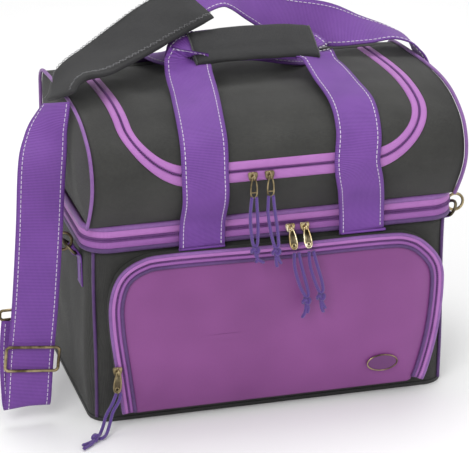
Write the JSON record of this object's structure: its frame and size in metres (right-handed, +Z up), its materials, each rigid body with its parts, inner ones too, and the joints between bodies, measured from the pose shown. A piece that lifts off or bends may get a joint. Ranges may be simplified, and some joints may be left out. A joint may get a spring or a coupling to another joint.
{
  "type": "bowling ball bag",
  "caption": "Soft bowling bag with a lower ball compartment, zip-round upper shoe compartment, arched front pocket, carry handles and padded shoulder strap.",
  "frame": {"origin": "centre of the base on the surface it stands on", "axes": "+X to the bag's right end as seen from the front, +Y to the back, +Z up"},
  "size_m": [0.5251, 0.2998, 0.4351],
  "materials": {
    "black_nylon": "woven nylon",
    "base_fabric": "coated nylon",
    "board": "matte",
    "foam": "foam",
    "piping": "satin piping",
    "zip_tape": "woven tape",
    "zip_coil": "satin",
    "webbing": "ribbed webbing",
    "antique_brass": "antique",
    "gold_metal": "polished",
    "pull_cord": "braided",
    "plum_vinyl": "smooth vinyl",
    "black_soft": "soft knit"
  },
  "bodies": {
    "lower_bag": {"base_panel": "base_fabric", "base_board": "board", "ball_ring": "foam", "front_panel": "black_nylon", "back_panel": "black_nylon", "left_panel": "black_nylon", "right_panel": "black_nylon", "corner_piping": "piping", "band_lower_tape": "zip_tape", "band_lower_piping": "piping", "band_lower_coil": "zip_coil", "back_hinge_strip": "black_nylon", "pocket_gusset": "black_nylon", "pocket_zip_outer": "zip_tape", "d_ring_tabs": "webbing"},
    "upper_bag": {"upper_floor": "base_fabric", "upper_shell": "black_nylon", "upper_left_end": "black_nylon", "upper_right_end": "black_nylon", "upper_end_piping": "piping", "band_upper_tape": "zip_tape", "band_upper_piping": "piping", "band_upper_coil": "zip_coil", "lid_zip_outer": "zip_tape"},
    "lid": {"lid_panel": "black_nylon", "lid_zip_inner": "zip_tape"},
    "pocket": {"pocket_flap": "plum_vinyl", "pocket_zip_inner": "zip_tape"},
    "left_ring": {"left_d_ring": "antique_brass"},
    "right_ring": {"right_d_ring": "antique_brass"},
    "front_handle_base": {"front_handle_roots": "webbing", "front_handle_legs": "webbing"},
    "front_handle": {"front_handle_grip": "webbing", "handle_wrap": "black_soft"},
    "rear_handle_base": {"rear_handle_roots": "webbing", "rear_handle_legs": "webbing"},
    "rear_handle": {"rear_handle_grip": "webbing"},
    "strap_base": {"hook_rivets": "antique_brass", "left_hook": "antique_brass", "right_hook": "antique_brass", "strap_drop": "webbing", "strap_adjuster": "antique_brass"},
    "strap": {"shoulder_pad": "black_soft", "strap_webbing": "webbing"},
    "mid_slider_left": {"mid_slider_left": "gold_metal"},
    "mid_pull_left": {"mid_pull_left": "gold_metal", "mid_cord_left": "pull_cord"},
    "mid_slider_right": {"mid_slider_right": "gold_metal"},
    "mid_pull_right": {"mid_pull_right": "gold_metal", "mid_cord_right": "pull_cord"},
    "lid_slider_left": {"lid_slider_left": "antique_brass"},
    "lid_pull_left": {"lid_pull_left": "antique_brass", "lid_cord_left": "pull_cord"},
    "lid_slider_right": {"lid_slider_right": "antique_brass"},
    "lid_pull_right": {"lid_pull_right": "antique_brass", "lid_cord_right": "pull_cord"},
    "pocket_slider": {"pocket_slider": "antique_brass"},
    "pocket_pull": {"pocket_pull": "antique_brass", "pocket_cord": "pull_cord"}
  },
  "joints": [
    {"name": "upper_hinge", "type": "hinge", "parent": "lower_bag", "child": "upper_bag", "pos_m": [0, 0.1215, 0.211], "axis": [-1, 0, 0], "range_deg": [0, 95]},
    {"name": "lid_hinge", "type": "hinge", "parent": "upper_bag", "child": "lid", "pos_m": [0, 0.0805, 0.337], "axis": [-1, 0, 0], "range_deg": [0, 100]},
    {"name": "pocket_hinge", "type": "hinge", "parent": "lower_bag", "child": "pocket", "pos_m": [0, -0.132, 0.012], "axis": [1, 0, 0], "range_deg": [0, 80]},
    {"name": "mid_slide_left", "type": "slide", "parent": "lower_bag", "child": "mid_slider_left", "axis": [1, 0, 0], "range_m": [-0.06, 0]},
    {"name": "mid_slide_right", "type": "slide", "parent": "lower_bag", "child": "mid_slider_right", "axis": [1, 0, 0], "range_m": [0, 0.025]},
    {"name": "lid_slide_left", "type": "slide", "parent": "upper_bag", "child": "lid_slider_left", "axis": [1, 0, 0], "range_m": [-0.015, 0]},
    {"name": "lid_slide_right", "type": "slide", "parent": "upper_bag", "child": "lid_slider_right", "axis": [1, 0, 0], "range_m": [0, 0.05]},
    {"name": "pocket_slide", "type": "slide", "parent": "lower_bag", "child": "pocket_slider", "axis": [0, 0, 1], "range_m": [0, 0.06]},
    {"name": "mid_pull_left_hinge", "type": "hinge", "parent": "mid_slider_left", "child": "mid_pull_left", "pos_m": [0.017, -0.1259, 0.206], "axis": [-1, 0, 0], "range_deg": [0, 80], "deforming": ["mid_cord_left"]},
    {"name": "mid_pull_right_hinge", "type": "hinge", "parent": "mid_slider_right", "child": "mid_pull_right", "pos_m": [0.033, -0.1259, 0.206], "axis": [-1, 0, 0], "range_deg": [0, 80], "deforming": ["mid_cord_right"]},
    {"name": "lid_pull_left_hinge", "type": "hinge", "parent": "lid_slider_left", "child": "lid_pull_left", "pos_m": [-0.033, -0.157, 0.28], "axis": [-1, 0, 0], "range_deg": [0, 80], "deforming": ["lid_cord_left"]},
    {"name": "lid_pull_right_hinge", "type": "hinge", "parent": "lid_slider_right", "child": "lid_pull_right", "pos_m": [-0.015, -0.157, 0.28], "axis": [-1, 0, 0], "range_deg": [0, 80], "deforming": ["lid_cord_right"]},
    {"name": "pocket_pull_hinge", "type": "hinge", "parent": "pocket_slider", "child": "pocket_pull", "pos_m": [-0.175, -0.1353, 0.066], "axis": [-1, 0, 0], "range_deg": [0, 80], "deforming": ["pocket_cord"]},
    {"name": "left_ring_hinge", "type": "hinge", "parent": "lower_bag", "child": "left_ring", "pos_m": [-0.209, -0.075, 0.188], "axis": [0, 1, 0], "range_deg": [0, 10]},
    {"name": "right_ring_hinge", "type": "hinge", "parent": "lower_bag", "child": "right_ring", "pos_m": [0.209, -0.075, 0.188], "axis": [0, 1, 0], "range_deg": [-10, 0]},
    {"name": "front_handle_first_tip", "type": "hinge", "parent": "lower_bag", "child": "front_handle_base", "pos_m": [0, -0.1225, 0.1936], "axis": [1, 0, 0], "range_deg": [0, 50], "deforming": ["front_handle_legs"]},
    {"name": "front_handle_second_tip", "type": "hinge", "parent": "front_handle_base", "child": "front_handle", "pos_m": [0, -0.1225, 0.1936], "axis": [1, 0, 0], "range_deg": [0, 50], "deforming": ["front_handle_grip", "handle_wrap"]},
    {"name": "rear_handle_first_tip", "type": "hinge", "parent": "lower_bag", "child": "rear_handle_base", "pos_m": [0, 0.1205, 0.1936], "axis": [-1, 0, 0], "range_deg": [0, 115], "deforming": ["rear_handle_legs"]},
    {"name": "rear_handle_second_tip", "type": "hinge", "parent": "rear_handle_base", "child": "rear_handle", "pos_m": [0, 0.1205, 0.1936], "axis": [-1, 0, 0], "range_deg": [0, 40], "deforming": ["rear_handle_grip"]},
    {"name": "strap_first_swing", "type": "hinge", "parent": "lower_bag", "child": "strap_base", "pos_m": [0, -0.075, 0.1979], "axis": [1, 0, 0], "range_deg": [0, 52], "deforming": ["strap_drop"]},
    {"name": "strap_second_swing", "type": "hinge", "parent": "strap_base", "child": "strap", "pos_m": [0, -0.075, 0.1979], "axis": [1, 0, 0], "range_deg": [0, 78], "deforming": ["shoulder_pad", "strap_webbing"]}
  ],
  "couplings": [
    {"joint": "front_handle_first_tip", "follows": "upper_hinge", "ratio": 0.52526},
    {"joint": "front_handle_second_tip", "follows": "lid_hinge", "ratio": 0.499},
    {"joint": "rear_handle_first_tip", "follows": "upper_hinge", "ratio": 1.2095},
    {"joint": "rear_handle_second_tip", "follows": "lid_hinge", "ratio": 0.399},
    {"joint": "strap_first_swing", "follows": "upper_hinge", "ratio": 0.54632},
    {"joint": "strap_second_swing", "follows": "lid_hinge", "ratio": 0.779}
  ]
}
